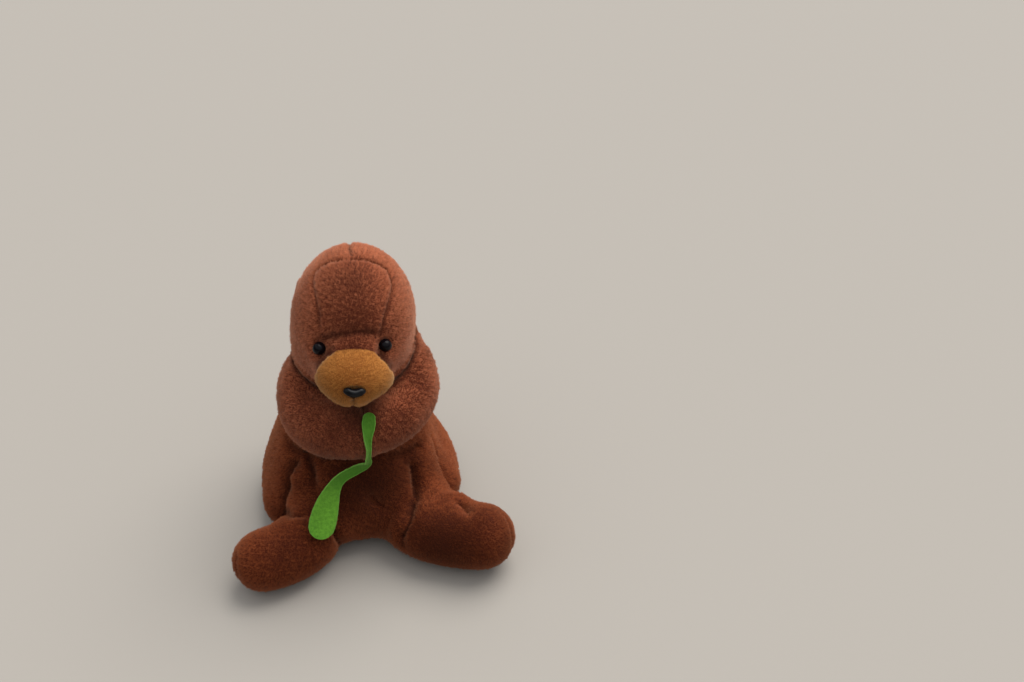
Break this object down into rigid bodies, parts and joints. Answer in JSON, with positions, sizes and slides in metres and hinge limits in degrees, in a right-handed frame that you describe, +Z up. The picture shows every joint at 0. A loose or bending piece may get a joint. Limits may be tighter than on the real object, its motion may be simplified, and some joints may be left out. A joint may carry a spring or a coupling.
{
  "type": "plush otter toy",
  "caption": "Seated stuffed otter in short brown plush with a tan muzzle, arms wrapped round its chest and a felt strip of seaweed between its paws.",
  "frame": {"origin": "on the floor, under the middle of the toy's box", "axes": "+Z up, -Y the way the toy faces, +X to the right of a viewer in front of it"},
  "size_m": [0.1632, 0.1952, 0.1719],
  "materials": {
    "plush": "short-pile plush, soft sheen",
    "tan_plush": "short-pile plush, soft sheen",
    "felt": "pressed felt, matte with loose fibres",
    "gloss_plastic": "moulded and polished black plastic"
  },
  "bodies": {
    "root": {"head": "plush", "muzzle": "tan_plush", "eye_left": "gloss_plastic", "eye_right": "gloss_plastic", "nose": "gloss_plastic", "ear_left": "plush", "ear_right": "plush", "arm_left": "plush", "arm_right": "plush", "leg_left": "plush", "leg_right": "plush", "trunk": "plush", "tail": "plush", "leaf": "felt"}
  },
  "joints": []
}
